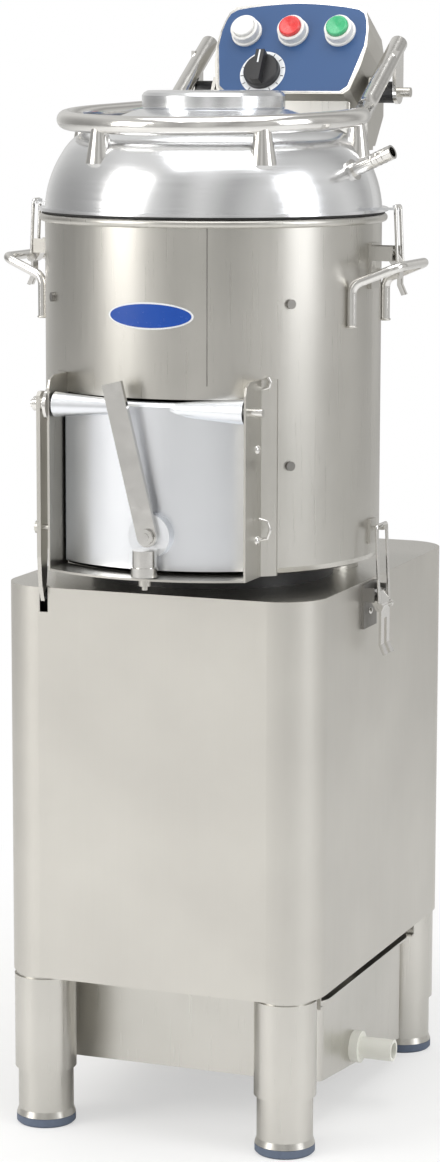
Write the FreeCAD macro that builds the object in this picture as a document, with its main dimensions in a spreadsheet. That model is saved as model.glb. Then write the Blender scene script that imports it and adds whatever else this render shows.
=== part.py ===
import FreeCAD, Part
import Sketcher
import math
import os
import re
from FreeCAD import Rotation, Vector

# Electric potato peeler.
# Frame: drum axis on Z, floor at z = 0, chute and door towards -Y, column and panel towards +Y.

SIZES = {
    # cabinet
    "cabinet_width": 326.0,
    "cabinet_front": 161.0,
    "cabinet_back": 270.0,
    "cabinet_bottom": 156.0,
    "cabinet_top": 545.0,
    "cabinet_corner": 45.0,
    "sheet": 1.5,
    "deck_sheet": 2.0,
    # legs and feet
    "leg_x": 127.0,
    "leg_front_y": 129.6,
    "leg_rear_y": 237.8,
    "leg_radius": 30.5,
    "leg_step": 58.0,
    "sleeve_radius": 27.5,
    "foot_radius": 29.5,
    "foot_height": 9.0,
    "foot_stem_radius": 8.0,
    "foot_stem_height": 44.0,
    # waste tray and its rails
    "tray_width": 286.0,
    "tray_front": 83.0,
    "tray_back": 192.0,
    "tray_top": 138.0,
    "tray_floor_front": 55.0,
    "tray_floor_back": 26.0,
    "tray_corner": 20.0,
    "tray_lip": 7.0,
    "rail_sheet": 2.0,
    "drain_radius": 11.0,
    "drain_length": 43.0,
    "drain_y": 27.0,
    "drain_z": 62.0,
    # drum
    "drum_radius": 165.0,
    "drum_wall": 2.0,
    "drum_gap": 19.0,
    "drum_rim": 900.2,
    "bead_radius": 4.0,
    "bead_reach": 170.5,
    "liner_wall": 4.0,
    "liner_bottom": 606.0,
    "liner_top": 886.0,
    # chute and door
    "chute_half_width": 101.0,
    "chute_front": 174.0,
    "chute_lip_radius": 200.0,
    "chute_top": 751.0,
    "chute_sheet": 2.0,
    "door_pivot_y": 163.0,
    "door_pivot_z": 723.0,
    "door_radius": 171.0,
    "door_wall": 5.0,
    "door_side_gap": 2.0,
    "door_floor_gap": 4.0,
    "door_shaft_radius": 4.0,
    "roll_radius": 6.5,
    "roll_end_radius": 12.0,
    "lever_pivot_x": 6.0,
    "lever_pivot_z": 604.0,
    "lever_length": 148.0,
    "lever_width": 20.0,
    "lever_sheet": 5.0,
    "lever_tilt": 14.0,
    "boss_radius": 21.0,
    # lid
    "lid_bottom": 902.5,
    "lid_overhang": 6.0,
    "lid_wall": 2.0,
    "waist_in": 11.0,
    "waist_rise": 30.5,
    "shoulder_in": 23.0,
    "shoulder_rise": 55.5,
    "turn_in": 37.0,
    "turn_rise": 71.5,
    "crown_radius": 112.0,
    "crown_rise": 81.5,
    "rise_radius": 92.0,
    "rise_rise": 90.7,
    "gasket_height": 2.0,
    "cap_radius": 70.0,
    "cap_bottom": 1000.0,
    "cap_height": 18.0,
    "inlet_x": 143.0,
    "inlet_y": 26.0,
    "inlet_z": 939.0,
    "inlet_tilt": 23.0,
    "inlet_turn": 10.0,
    "inlet_radius": 7.0,
    "inlet_length": 58.0,
    "inlet_collar": 14.0,
    # lid lever and hinge
    "tube_radius": 9.0,
    "ring_radius": 144.0,
    "ring_front_z": 986.0,
    "ring_slope": 2.6,
    "arm_turn": 17.0,
    "arm_bend_y": 150.0,
    "arm_end_y": 255.0,
    "arm_end_z": 1065.0,
    "arm_x": 105.0,
    "hinge_y": 235.0,
    "hinge_z": 1015.0,
    "hinge_pin_radius": 5.0,
    "hinge_pin_end": 125.0,
    # column and control panel
    "column_half_width": 70.0,
    "column_front": 203.0,
    "column_depth": 30.0,
    "panel_y": 190.0,
    "panel_z": 1013.5,
    "panel_tilt": 30.0,
    "panel_depth": 58.0,
    "panel_low_width": 146.0,
    "panel_mid_width": 166.0,
    "panel_top_width": 150.0,
    "panel_mid_height": 56.0,
    "panel_side_height": 100.0,
    "panel_height": 109.0,
    "fascia_sheet": 2.0,
    "button_row": 71.5,
    "button_pitch": 51.5,
    "button_radius": 11.5,
    "collar_radius": 14.7,
    "collar_height": 12.0,
    "button_travel": 4.0,
    "knob_x": 25.0,
    "knob_row": 24.0,
    "knob_radius": 19.0,
    # drive
    "shaft_radius": 12.5,
    "bearing_outer": 26.0,
    "bearing_width": 15.0,
    "housing_wall": 12.0,
    "hub_gap": 9.0,
    "seat_radius": 120.0,
    "disc_gap": 4.0,
    "disc_bottom": 586.0,
    "disc_height": 12.0,
    "pulley_z": 428.0,
    "pulley_width": 20.0,
    "driven_radius": 75.0,
    "motor_pulley_radius": 25.0,
    "motor_y": 186.0,
    "motor_radius": 66.0,
    "motor_height": 190.0,
    "motor_shaft_radius": 9.5,
    # carrying handles
    "handle_half_span": 50.0,
    "handle_rod": 4.5,
    "handle_out": 41.0,
    "handle_low": 796.0,
    "handle_bend": 836.0,
    "handle_top": 854.0,
    "handle_bend_radius": 12.0,
    # toggle latches
    "latch_wire": 1.6,
    "latch_pin": 2.0,
    "latch_half_width": 6.0,
    "clamp_half_width": 13.0,
    "latch_sheet": 2.0,
    "pin_play": 0.05,
    "clamp_slack": 1.1,
    "free_gap": 0.3,
}

DOC = FreeCAD.newDocument("Peeler")
SHEET = DOC.addObject("Spreadsheet::Sheet", "Sizes")
for row, (alias, size) in enumerate(SIZES.items(), start=1):
    SHEET.set(f"A{row}", alias)
    SHEET.set(f"B{row}", str(size))
    SHEET.setAlias(f"B{row}", alias)
DOC.recompute()

NODES = []


def bound(text):
    """Turn the plain names in a formula into references to the sheet."""
    return re.sub(r"[a-z]\w*", lambda word: f"Sizes.{word[0]}" if word[0] in SIZES else word[0], text)


def number(text):
    """The present value of a formula, in millimetres or degrees."""
    value = SHEET.evalExpression(bound(text))
    return float(getattr(value, "Value", value))


def bind(item, prop, text):
    item.setExpression(prop, bound(text))


def place(item, x="0", y="0", z="0"):
    for axis, text in zip("xyz", (x, y, z)):
        bind(item, f"Placement.Base.{axis}", text)
    return item


def node(item, name):
    """Name a finished sub-part: its label is the name of its file."""
    item.Label = name
    NODES.append(item)
    return item


TURNS = {
    "z": Rotation(),
    "x": Rotation(Vector(0, 1, 0), 90),
    "-x": Rotation(Vector(0, 1, 0), -90),
    "y": Rotation(Vector(1, 0, 0), -90),
    "-y": Rotation(Vector(1, 0, 0), 90),
}


def box(name, length, width, height, x="0", y="0", z="0"):
    """A block centred on x and y and standing on z."""
    item = DOC.addObject("Part::Box", name)
    bind(item, "Length", length)
    bind(item, "Width", width)
    bind(item, "Height", height)
    return place(item, f"({x}) - ({length}) / 2", f"({y}) - ({width}) / 2", z)


def cylinder(name, radius, height, x="0", y="0", z="0", axis="z"):
    """A round bar that starts at x, y, z and runs along an axis."""
    item = DOC.addObject("Part::Cylinder", name)
    bind(item, "Radius", radius)
    bind(item, "Height", height)
    item.Placement.Rotation = TURNS[axis]
    return place(item, x, y, z)


def cone(name, low, high, height, x="0", y="0", z="0", axis="z"):
    item = DOC.addObject("Part::Cone", name)
    bind(item, "Radius1", low)
    bind(item, "Radius2", high)
    bind(item, "Height", height)
    item.Placement.Rotation = TURNS[axis]
    return place(item, x, y, z)


def ring(name, tube, reach, z):
    item = DOC.addObject("Part::Torus", name)
    bind(item, "Radius1", reach)
    bind(item, "Radius2", tube)
    return place(item, z=z)


def fuse(name, *items):
    item = DOC.addObject("Part::MultiFuse", name)
    item.Shapes = list(items)
    item.Refine = True
    return item


def group(name, *items):
    """Separate solids that share one node."""
    item = DOC.addObject("Part::Compound", name)
    item.Links = list(items)
    return item


def cut(name, base, *tools):
    item = DOC.addObject("Part::Cut", name)
    item.Base = base
    item.Tool = tools[0] if len(tools) == 1 else fuse(f"{name}_tools", *tools)
    item.Refine = True
    return item


def common(name, base, tool):
    item = DOC.addObject("Part::Common", name)
    item.Base = base
    item.Tool = tool
    return item


def mirrored(name, item):
    """The same piece on the other side of the YZ plane."""
    twin = DOC.addObject("Part::Mirroring", name)
    twin.Source = item
    twin.Normal = Vector(1, 0, 0)
    return twin


def tube(name, outer, inner, height, x="0", y="0", z="0", axis="z"):
    return cut(
        name,
        cylinder(f"{name}_outside", outer, height, x, y, z, axis),
        cylinder(f"{name}_bore", inner, height, x, y, z, axis),
    )


def rounded_box(name, length, width, height, radius, x="0", y="0", z="0"):
    """A block with its four upright corners rounded, centred on x and y and standing on z."""
    body = DOC.addObject("PartDesign::Body", name)
    block = body.newObject("PartDesign::AdditiveBox", f"{name}_block")
    bind(block, "Length", length)
    bind(block, "Width", width)
    bind(block, "Height", height)
    DOC.recompute()
    upright = [
        f"Edge{index}"
        for index, edge in enumerate(block.Shape.Edges, start=1)
        if abs(edge.tangentAt(edge.FirstParameter).z) > 0.99
    ]
    corners = body.newObject("PartDesign::Fillet", f"{name}_corners")
    corners.Base = (block, upright)
    bind(corners, "Radius", radius)
    body.Tip = corners
    return place(body, f"({x}) - ({length}) / 2", f"({y}) - ({width}) / 2", z)


def outline(body, name, plane, points):
    """A closed sketch through points, each held by formulas from the origin."""
    sketch = body.newObject("Sketcher::SketchObject", name)
    origin = next(item for item in body.Origin.OriginFeatures if item.Role == plane)
    sketch.AttachmentSupport = [(origin, "")]
    sketch.MapMode = "FlatFace"
    corners = [Vector(number(u), number(v), 0) for u, v in points]
    for start, end in zip(corners, corners[1:] + corners[:1]):
        sketch.addGeometry(Part.LineSegment(start, end), False)
    count = len(points)
    for index in range(count):
        sketch.addConstraint(Sketcher.Constraint("Coincident", index, 2, (index + 1) % count, 1))
    for index, (u, v) in enumerate(points):
        for kind, text, axis in (("DistanceX", u, -2), ("DistanceY", v, -1)):
            if text == "0":
                sketch.addConstraint(Sketcher.Constraint("PointOnObject", index, 1, axis))
                continue
            place_in_list = sketch.addConstraint(Sketcher.Constraint(kind, -1, 1, index, 1, number(text)))
            sketch.setExpression(f"Constraints[{place_in_list}]", bound(text))
    return sketch


def turned(name, points, x="0", y="0", z="0"):
    """A solid of revolution about Z through points of radius and height."""
    body = DOC.addObject("PartDesign::Body", name)
    sketch = outline(body, f"{name}_profile", "XZ_Plane", points)
    solid = body.newObject("PartDesign::Revolution", f"{name}_turned")
    solid.Profile = sketch
    solid.ReferenceAxis = (sketch, ["V_Axis"])
    solid.Angle = 360
    sketch.Visibility = False
    return place(body, x, y, z)


def plate(name, plane, points, thickness, x="0", y="0", z="0"):
    """A flat plate padded from an outline in one of the body's planes."""
    body = DOC.addObject("PartDesign::Body", name)
    sketch = outline(body, f"{name}_outline", plane, points)
    pad = body.newObject("PartDesign::Pad", f"{name}_pad")
    pad.Profile = sketch
    bind(pad, "Length", thickness)
    return place(body, x, y, z)


def shaped(name, shape):
    """A sub-part whose form no primitive or sketch fits."""
    item = DOC.addObject("Part::Feature", name)
    item.Shape = shape
    return item


def bent_path(points, radius):
    """Straight runs joined by tangent arcs."""
    edges = []
    start = points[0]
    for before, corner, after in zip(points, points[1:], points[2:]):
        back = (before - corner).normalize()
        ahead = (after - corner).normalize()
        half = back.getAngle(ahead) / 2
        reach = radius / math.tan(half)
        inside = (back + ahead).normalize()
        first = corner + back * reach
        last = corner + ahead * reach
        middle = corner + inside * (radius / math.sin(half) - radius)
        edges.append(Part.LineSegment(start, first).toShape())
        edges.append(Part.Arc(first, middle, last).toShape())
        start = last
    edges.append(Part.LineSegment(start, points[-1]).toShape())
    return Part.Wire(edges)


def rod(path, radius):
    """A round bar swept along a path."""
    first = path.Edges[0]
    start = first.valueAt(first.FirstParameter)
    along = first.tangentAt(first.FirstParameter)
    section = Part.Wire(Part.makeCircle(radius, start, along))
    return path.makePipeShell([section], True, False)


def at(x, y, z):
    """A point whose coordinates are formulas."""
    return Vector(number(x), number(y), number(z))


# Heights and places shared by many pieces
CABINET_DEPTH = "cabinet_front + cabinet_back"
CABINET_MID = "(cabinet_back - cabinet_front) / 2"
CABINET_HEIGHT = "cabinet_top - cabinet_bottom"
DRUM_BOTTOM = "(cabinet_top + drum_gap)"
DRUM_FLOOR = "(cabinet_top + drum_gap + drum_wall)"
LID_RADIUS = "(drum_radius + lid_overhang)"
DISC_RADIUS = "(drum_radius - drum_wall - liner_wall - disc_gap)"
OUTLET_X = "(drum_radius - 70)"
OUTLET_Y = "(drum_radius - 90)"
OUTLET_RADIUS = "30"
SLOT_X = "-112"
CLAMP_SHELF = "(cabinet_top + drum_gap + 32)"


def drum_core(name, radius="drum_radius"):
    """The room that the drum takes up, used to trim what is welded to its wall."""
    return cylinder(name, radius, "drum_rim - cabinet_top - drum_gap", z=DRUM_BOTTOM)


# Cabinet: a wrapped sheet with rounded corners, a deck, a base frame and a rear panel
def make_cabinet():
    outside = rounded_box(
        "cabinet_outside", "cabinet_width", CABINET_DEPTH, CABINET_HEIGHT, "cabinet_corner",
        "0", CABINET_MID, "cabinet_bottom",
    )
    inside = rounded_box(
        "cabinet_inside", "cabinet_width - 2 * sheet", f"{CABINET_DEPTH} - 2 * sheet",
        f"{CABINET_HEIGHT} + 2", "cabinet_corner - sheet", "0", CABINET_MID, "cabinet_bottom - 1",
    )
    slot = box("front_slot", "8.5", "20", "25", SLOT_X, "-cabinet_front", "cabinet_top - 24")
    window = box(
        "rear_window", "cabinet_width - 2 * cabinet_corner - 16", "20", f"{CABINET_HEIGHT} - 60",
        "0", "cabinet_back", "cabinet_bottom + 30",
    )
    wrapper = cut("cabinet_wrapper", outside, inside, slot, window)

    panel = box(
        "rear_sheet", "cabinet_width - 2 * cabinet_corner", "sheet", f"{CABINET_HEIGHT} - 44",
        "0", "cabinet_back + sheet / 2", "cabinet_bottom + 22",
    )
    gland_hole = cylinder("gland_hole", "8", "10", "90", "cabinet_back - 4", "220", "y")
    node(cut("rear_panel_cut", panel, gland_hole), "rear_panel")

    deck = rounded_box(
        "deck_sheet_block", "cabinet_width - 2 * sheet", f"{CABINET_DEPTH} - 2 * sheet", "deck_sheet",
        "cabinet_corner - sheet", "0", CABINET_MID, "cabinet_top - deck_sheet",
    )
    hub_hole = cylinder("hub_hole", "bearing_outer + housing_wall + free_gap", "10", z="cabinet_top - 6")
    outlet_hole = cylinder("deck_outlet_hole", f"{OUTLET_RADIUS} + free_gap", "10", OUTLET_X, OUTLET_Y,
                           "cabinet_top - 6")
    deck_slot = box("deck_slot", "8.5", "24", "10", SLOT_X, "-cabinet_front", "cabinet_top - 6")
    node(cut("top_deck_cut", deck, hub_hole, outlet_hole, deck_slot), "top_deck")

    base = rounded_box(
        "base_block", "cabinet_width - 2 * sheet", f"{CABINET_DEPTH} - 2 * sheet", "deck_sheet",
        "cabinet_corner - sheet", "0", CABINET_MID, "cabinet_bottom",
    )
    well = box("base_well", "cabinet_width - 70", "230", "10", "0", CABINET_MID, "cabinet_bottom - 4")
    node(fuse("cabinet_welded", wrapper, cut("base_lips", base, well)), "cabinet_shell")

    gland = fuse(
        "gland_body",
        cylinder("gland_nut", "14", "8", "90", "cabinet_back + sheet", "220", "y"),
        cylinder("gland_neck", "8", "26", "90", "cabinet_back - 6", "220", "y"),
    )
    gland_bore = cylinder("gland_bore", "4.5", "40", "90", "cabinet_back - 8", "220", "y")
    node(cut("cable_gland_cut", gland, gland_bore), "cable_gland")

    switch = fuse(
        "switch_body",
        cylinder("switch_plunger", "3", "20", SLOT_X, "-door_pivot_y + 5.6", "cabinet_top - 9", "y"),
        box("switch_case", "20", "22", "30", SLOT_X, "-cabinet_front + 28", "cabinet_top - deck_sheet - 32"),
        box("switch_shelf", "20", "30", "2", SLOT_X, "-cabinet_front + sheet + 15", "cabinet_top - 36"),
    )
    node(switch, "interlock_switch")


# Legs: stepped tubes with a plug that takes the stem of an adjustable foot
LEGS = {
    "front_left": ("-leg_x", "-leg_front_y"),
    "front_right": ("leg_x", "-leg_front_y"),
    "rear_left": ("-leg_x", "leg_rear_y"),
    "rear_right": ("leg_x", "leg_rear_y"),
}


def make_legs():
    legs = []
    for corner, (x, y) in LEGS.items():
        skin = fuse(
            f"leg_{corner}_skin",
            cylinder(f"leg_{corner}_upper", "leg_radius", "cabinet_bottom - leg_step - 3", x, y, "leg_step"),
            cylinder(f"leg_{corner}_neck", "leg_radius - 2", "4", x, y, "cabinet_bottom - 4"),
            cylinder(f"leg_{corner}_sleeve", "sleeve_radius", "leg_step - foot_height - 4", x, y,
                     "foot_height + 6"),
            cone(f"leg_{corner}_flare", "foot_radius", "sleeve_radius", "6", x, y,
                 "foot_height + free_gap"),
        )
        hollow = cylinder(f"leg_{corner}_hollow", "sleeve_radius - 2", "cabinet_bottom", x, y, "-1")
        plug = tube(f"leg_{corner}_plug", "sleeve_radius - 1", "foot_stem_radius + pin_play", "18", x, y,
                    "foot_height + 5")
        legs.append(fuse(f"leg_{corner}", cut(f"leg_{corner}_tube", skin, hollow), plug))
        foot = fuse(
            f"foot_{corner}_fuse",
            cylinder(f"foot_{corner}_pad", "foot_radius", "foot_height - 2", x, y, "2"),
            cone(f"foot_{corner}_edge", "foot_radius - 2", "foot_radius", "2", x, y, "0"),
            cylinder(f"foot_{corner}_stem", "foot_stem_radius", "foot_stem_height", x, y, "foot_height - 1"),
        )
        node(foot, f"foot_{corner}")
    node(group("leg_group", *legs), "leg_tubes")


# Waste tray: slides out to the right on two rails, with a floor that falls to the rear
def make_tray():
    depth = "(tray_front + tray_back)"
    middle = "(tray_back - tray_front) / 2"
    floor = {
        "outside": ("tray_floor_front", "tray_floor_back", "tray_top", "0"),
        "inside": ("tray_floor_front + sheet", "tray_floor_back + sheet", "tray_top + 2", "sheet"),
    }
    shells = {}
    for side, (front, back, top, inset) in floor.items():
        wedge = plate(
            f"tray_{side}_wedge", "YZ_Plane",
            [("-tray_front", front), ("tray_back", back), ("tray_back", top), ("-tray_front", top)],
            f"tray_width - 2 * {inset}", x=f"-tray_width / 2 + {inset}",
        )
        block = rounded_box(
            f"tray_{side}_block", f"tray_width - 2 * {inset}", f"{depth} - 2 * {inset}", "tray_top + 10",
            f"tray_corner - {inset}", "0", middle, "0",
        )
        shells[side] = common(f"tray_{side}", wedge, block)
    rim = rounded_box(
        "tray_rim", "tray_width + 2 * tray_lip", f"{depth} + 2 * tray_lip", "2", "tray_corner + tray_lip",
        "0", middle, "tray_top - 2",
    )
    wall_hole = cylinder("tray_wall_hole", "drain_radius", "20", "tray_width / 2 - 10", "drain_y",
                         "drain_z", "x")
    node(cut("waste_tray_cut", fuse("tray_body", shells["outside"], rim), shells["inside"], wall_hole),
         "waste_tray")

    wall_x = "tray_width / 2"
    fitting = fuse(
        "drain_body",
        cylinder("drain_tail", "drain_radius", "drain_length + 10", f"{wall_x} - 10", "drain_y",
                 "drain_z", "x"),
        cylinder("drain_flange", "16", "9", wall_x, "drain_y", "drain_z", "x"),
        cylinder("drain_nut", "14", "5", f"{wall_x} - sheet - 5", "drain_y", "drain_z", "x"),
    )
    bore = cylinder("drain_bore", "drain_radius - 3", "drain_length + 30", f"{wall_x} - 20", "drain_y",
                    "drain_z", "x")
    node(cut("drain_fitting_cut", fitting, bore), "drain_fitting")

    rails = []
    low = "(tray_top - 2 - free_gap - rail_sheet)"
    for side, wall, sign in (("front", "-(tray_front + tray_lip + rail_sheet)", 1),
                             ("rear", "(tray_back + tray_lip + rail_sheet)", -1)):
        web = box(f"rail_{side}_web", "tray_width + 2 * tray_lip", "rail_sheet", f"cabinet_bottom - {low}", "0",
                  wall, low)
        ledge = box(f"rail_{side}_ledge", "tray_width + 2 * tray_lip", "tray_lip", "rail_sheet", "0",
                    f"{wall} + {sign} * (tray_lip - rail_sheet) / 2", low)
        rails.append(fuse(f"rail_{side}", web, ledge))
    node(group("rail_group", *rails), "tray_rails")


# Drum: rolled bead at the rim, a chute opening in front, an abrasive liner inside
def chute_window(name, margin="0"):
    return box(name, f"2 * (chute_half_width - chute_sheet - {margin})", "100",
               f"door_pivot_z + 9 - {DRUM_FLOOR}", "0", "-drum_radius", DRUM_FLOOR)


def make_drum():
    shell = turned("drum_wall_body", [
        ("14", DRUM_BOTTOM),
        ("drum_radius - 7", DRUM_BOTTOM),
        ("drum_radius - 2", f"{DRUM_BOTTOM} + 2"),
        ("drum_radius", f"{DRUM_BOTTOM} + 7"),
        ("drum_radius", "drum_rim"),
        ("drum_radius - drum_wall", "drum_rim"),
        ("drum_radius - drum_wall", f"{DRUM_BOTTOM} + 7"),
        ("drum_radius - drum_wall - 5", DRUM_FLOOR),
        ("14", DRUM_FLOOR),
    ])
    bead = ring("drum_bead", "bead_radius", "bead_reach - bead_radius", "drum_rim - bead_radius")
    bead_room = cylinder("bead_room", "drum_radius - drum_wall", "40", z="drum_rim - 30")
    outlet = cylinder("drum_outlet_hole", f"{OUTLET_RADIUS} - 2", "20", OUTLET_X, OUTLET_Y,
                      f"{DRUM_BOTTOM} - 8")
    skin = fuse("drum_skin", shell, cut("drum_bead_ring", bead, bead_room))
    hook = fuse(
        "clamp_hook_body",
        box("clamp_hook_shelf", "20", "11", "2", "drum_radius + 6", "0", CLAMP_SHELF),
        box("clamp_hook_lip", "1.5", "11", "4.5", "drum_radius + 15.25", "0", CLAMP_SHELF),
        box("clamp_hook_plate", "6", "16", "24", "drum_radius", "0", f"{CLAMP_SHELF} - 14"),
    )
    seated = cut("clamp_hook_cut", hook, drum_core("clamp_hook_core"))
    node(group("clamp_hook_pair", seated, mirrored("clamp_hook_left", seated)), "clamp_hooks")
    node(cut("drum_shell_cut", skin, chute_window("drum_window"), outlet), "drum_shell")

    liner = tube("liner_tube", "drum_radius - drum_wall", "drum_radius - drum_wall - liner_wall",
                 "liner_top - liner_bottom", z="liner_bottom")
    node(cut("abrasive_liner_cut", liner, chute_window("liner_window", "-1")), "abrasive_liner")

    heads = []
    for index, angle in enumerate((-137.5, -42.5, 42.5, 137.5)):
        for level, height in (("low", "668"), ("high", "821")):
            head = DOC.addObject("Part::Cylinder", f"bolt_{index}_{level}")
            bind(head, "Radius", "4.5")
            bind(head, "Height", "6")
            head.Placement.Rotation = Rotation(Vector(0, 0, 1), angle) * TURNS["x"]
            place(head, f"(drum_radius - 3) * {math.cos(math.radians(angle)):.6f}",
                  f"(drum_radius - 3) * {math.sin(math.radians(angle)):.6f}", height)
            heads.append(cut(f"bolt_{index}_{level}_seated", head, drum_core(f"bolt_{index}_{level}_core")))
    node(group("bolt_group", *heads), "liner_bolts")

    pipe = tube("outlet_pipe", OUTLET_RADIUS, f"{OUTLET_RADIUS} - 2", f"{DRUM_BOTTOM} - cabinet_bottom + 8",
                OUTLET_X, OUTLET_Y, "cabinet_bottom - 8")
    node(pipe, "peel_outlet")


# Chute: two side plates and a curved floor lip welded to the drum
def make_chute():
    half = "chute_half_width"
    shelf = common(
        "chute_shelf",
        cylinder("chute_shelf_disc", "chute_lip_radius", "chute_sheet", z=DRUM_BOTTOM),
        box("chute_shelf_room", f"2 * {half}", "160", "40", "0", "-180", f"{DRUM_BOTTOM} - 10"),
    )
    flange = common(
        "chute_flange",
        cylinder("chute_flange_disc", "drum_radius + 2", f"chute_top - {DRUM_BOTTOM}", z=DRUM_BOTTOM),
        cut(
            "chute_flange_room",
            box("chute_flange_outside", f"2 * {half} + 24", "160", "400", "0", "-180", "500"),
            box("chute_flange_inside", f"2 * ({half} - chute_sheet)", "200", "500", "0", "-180", "450"),
        ),
    )
    cheeks = []
    for side, sign in (("left", -1), ("right", 1)):
        cheeks.append(plate(
            f"chute_cheek_{side}", "YZ_Plane",
            [
                ("-chute_front", DRUM_BOTTOM),
                ("-chute_front + 80", DRUM_BOTTOM),
                ("-chute_front + 80", "chute_top"),
                ("-chute_front + 12", "chute_top"),
                ("-chute_front + 3", "chute_top - 4"),
                ("-chute_front", "chute_top - 12"),
            ],
            "chute_sheet", x=f"{sign} * ({half} - chute_sheet / 2) - chute_sheet / 2",
        ))
    lip_y = "-chute_lip_radius + 10"
    stud = (
        cylinder("lip_stud_nut", "6", "6", "lever_pivot_x", lip_y, f"{DRUM_BOTTOM} - 6"),
        cylinder("lip_stud_end", "3", "5", "lever_pivot_x", lip_y, f"{DRUM_BOTTOM} - 10"),
    )
    frame = fuse("chute_body", shelf, flange, *cheeks, *stud)
    shaft_hole = cylinder("chute_shaft_hole", "door_shaft_radius + pin_play", "260", "-130",
                          "-door_pivot_y", "door_pivot_z", "x")
    node(cut("chute_frame_cut", frame, drum_core("chute_core"), shaft_hole), "chute_frame")


def make_door():
    reach = "(chute_half_width - chute_sheet - door_side_gap)"
    panel_top = "(door_pivot_z + 2)"
    panel_low = f"({DRUM_FLOOR} + door_floor_gap)"
    curve = tube("door_curve", "door_radius", "door_radius - door_wall", f"{panel_top} - {panel_low}",
                 z=panel_low)
    slab = common("door_slab", curve,
                  box("door_room", f"2 * {reach}", "100", "400", "0", "-170", "500"))
    web = cut(
        "door_web",
        box("door_web_block", f"2 * {reach}", "38", "8", "0", "-door_pivot_y + 19", f"{panel_top} - 9"),
        cylinder("door_web_core", "door_radius - door_wall - 5", "60", z="door_pivot_z - 40"),
    )
    ends = []
    for side, sign, turn in (("left", -1, "x"), ("right", 1, "-x")):
        ends.append(cone(f"door_roll_{side}", "roll_end_radius", "roll_radius", "70", f"{sign} * {reach}",
                         "-door_pivot_y", "door_pivot_z", turn))
    ends.append(cylinder("door_roll_middle", "roll_radius", f"2 * {reach} - 136", f"-{reach} + 68",
                         "-door_pivot_y", "door_pivot_z", "x"))
    boss = cylinder("door_boss", "boss_radius", "14", "lever_pivot_x", "-door_radius + 4", "lever_pivot_z",
                    "-y")
    bore = cylinder("door_bore", "door_shaft_radius", "260", "-130", "-door_pivot_y", "door_pivot_z", "x")
    bolt_hole = cylinder("door_bolt_hole", "4", "12", "lever_pivot_x", "-door_radius", "lever_pivot_z", "-y")
    node(cut("chute_door_cut", fuse("door_body", slab, web, boss, *ends), bore, bolt_hole), "chute_door")

    cheek = "(chute_half_width + free_gap)"
    shaft = fuse(
        "door_shaft_body",
        cylinder("door_shaft_bar", "door_shaft_radius", "2 * chute_half_width + 34", "-chute_half_width - 21",
                 "-door_pivot_y", "door_pivot_z", "x"),
        cylinder("door_shaft_cam", "16", "3", f"-{cheek}", "-door_pivot_y", "door_pivot_z", "-x"),
        cylinder("door_shaft_spacer", "7", "5.7", f"-{cheek} - 3", "-door_pivot_y", "door_pivot_z", "-x"),
        cylinder("door_shaft_nut", "7", "5", "-chute_half_width - 13", "-door_pivot_y", "door_pivot_z", "-x"),
    )
    node(shaft, "door_shaft")

    y = "-door_pivot_y"
    tongue = plate(
        "tongue_plate", "YZ_Plane",
        [
            (f"{y} - 8", "door_pivot_z + 8"),
            (f"{y} - 4", "door_pivot_z + 12"),
            (f"{y} + 4", "door_pivot_z + 12"),
            (f"{y} + 8", "door_pivot_z + 8"),
            (f"{y} + 8", f"{DRUM_BOTTOM} + 10"),
            (f"{y} + 5", "cabinet_top"),
            (f"{y}", "cabinet_top - 13"),
            (f"{y} - 5", "cabinet_top + 2"),
            (f"{y} - 8", f"{DRUM_BOTTOM} + 12"),
        ],
        "4", x="-chute_half_width - 13",
    )
    hole = cylinder("tongue_hole", "door_shaft_radius", "20", "-chute_half_width - 20", y,
                    "door_pivot_z", "x")
    peg = fuse(
        "tongue_peg",
        cylinder("tongue_peg_bar", "3", "16", "-chute_half_width - 18", y, "lever_pivot_z", "x"),
        cylinder("tongue_peg_nut", "6", "4", "-chute_half_width - 17", y, "lever_pivot_z", "x"),
    )
    node(fuse("interlock_bar_fuse", cut("tongue_cut", tongue, hole), peg), "interlock_bar")

    front = "(door_radius + 10)"
    barrel = fuse(
        "barrel_body",
        cylinder("barrel_tube", "11.5", f"lever_pivot_z - 12 - {DRUM_FLOOR} - 1", "lever_pivot_x",
                 f"-{front} - 10", f"{DRUM_FLOOR} + 1"),
        cylinder("barrel_foot", "13", "9", "lever_pivot_x", f"-{front} - 10", f"{DRUM_FLOOR} + 1"),
        box("barrel_link", "16", "10", "8", "lever_pivot_x", f"-{front} - 5", "lever_pivot_z - 20"),
    )
    bolt = fuse(
        "lever_bolt",
        cylinder("lever_bolt_bar", "4", "21", "lever_pivot_x", "-door_radius", "lever_pivot_z", "-y"),
        cylinder("lever_bolt_head", "7.5", "4", "lever_pivot_x", f"-{front} - lever_sheet - 1",
                 "lever_pivot_z", "-y"),
    )
    boss_room = cylinder("barrel_boss_room", "boss_radius", "14", "lever_pivot_x", "-door_radius + 4",
                         "lever_pivot_z", "-y")
    node(group("barrel_group", cut("barrel_cut", barrel, boss_room), bolt), "latch_barrel")

    bar = fuse(
        "lever_bar",
        box("lever_strip", "lever_width", "lever_sheet", "lever_length", "0", "0", "0"),
        cylinder("lever_eye", "lever_width / 2", "lever_sheet", "0", "lever_sheet / 2", "0", "-y"),
    )
    lever = cut("lever_cut", bar,
                cylinder("lever_hole", "4 + pin_play", "20", "0", "10", "0", "-y"))
    lever.Placement.Rotation = Rotation(Vector(0, 1, 0), -number("lever_tilt"))
    lever_y = "-door_radius - 10 - free_gap - lever_sheet / 2"
    node(place(lever, "lever_pivot_x", lever_y, "lever_pivot_z"), "door_lever")


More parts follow.
